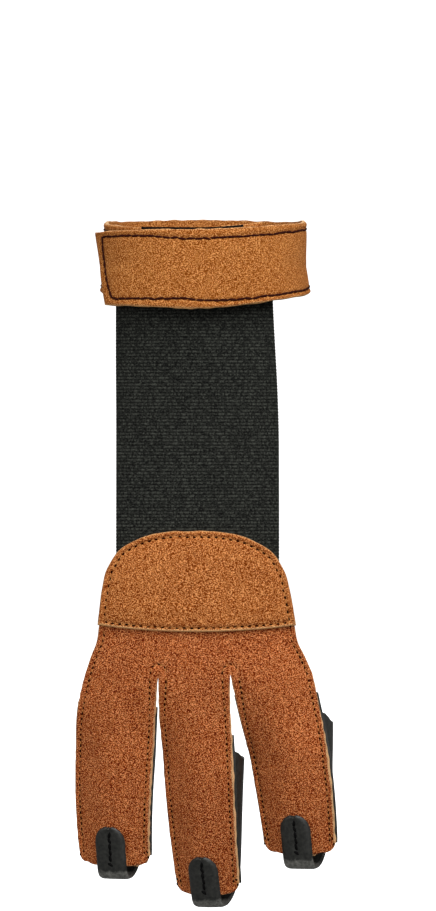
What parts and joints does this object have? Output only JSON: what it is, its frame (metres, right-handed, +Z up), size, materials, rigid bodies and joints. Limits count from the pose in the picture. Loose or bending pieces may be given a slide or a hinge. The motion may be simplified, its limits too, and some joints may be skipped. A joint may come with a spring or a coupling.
{
  "type": "archery glove",
  "caption": "Archery glove for the right hand, as worn: suede wrist strap, elastic back, suede yoke and finger strips, black leather finger stalls.",
  "frame": {"origin": "middle of the wrist hole, level with the strap over the back of the wrist", "axes": "+Z up the forearm with the fingers down, -Y out of the back of the hand, +X to the thumb side"},
  "size_m": [0.0853, 0.0491, 0.2252],
  "materials": {
    "tan_suede": "matt napped suede, orange tan",
    "russet_suede": "matt napped suede, red brown",
    "black_leather": "smooth semi-gloss black leather",
    "black_elastic": "ribbed woven elastic",
    "fastening_tape": "black hook and loop tape"
  },
  "bodies": {
    "root": {"wrist_strap": "tan_suede", "hook_tape": "fastening_tape", "loop_tape": "fastening_tape", "elastic_web": "black_elastic", "yoke": "tan_suede", "finger_panel": "russet_suede", "stall_ring": "black_leather", "stall_middle": "black_leather", "stall_index": "black_leather", "tip_strap_ring": "black_leather", "tip_strap_middle": "black_leather", "tip_strap_index": "black_leather"}
  },
  "joints": []
}
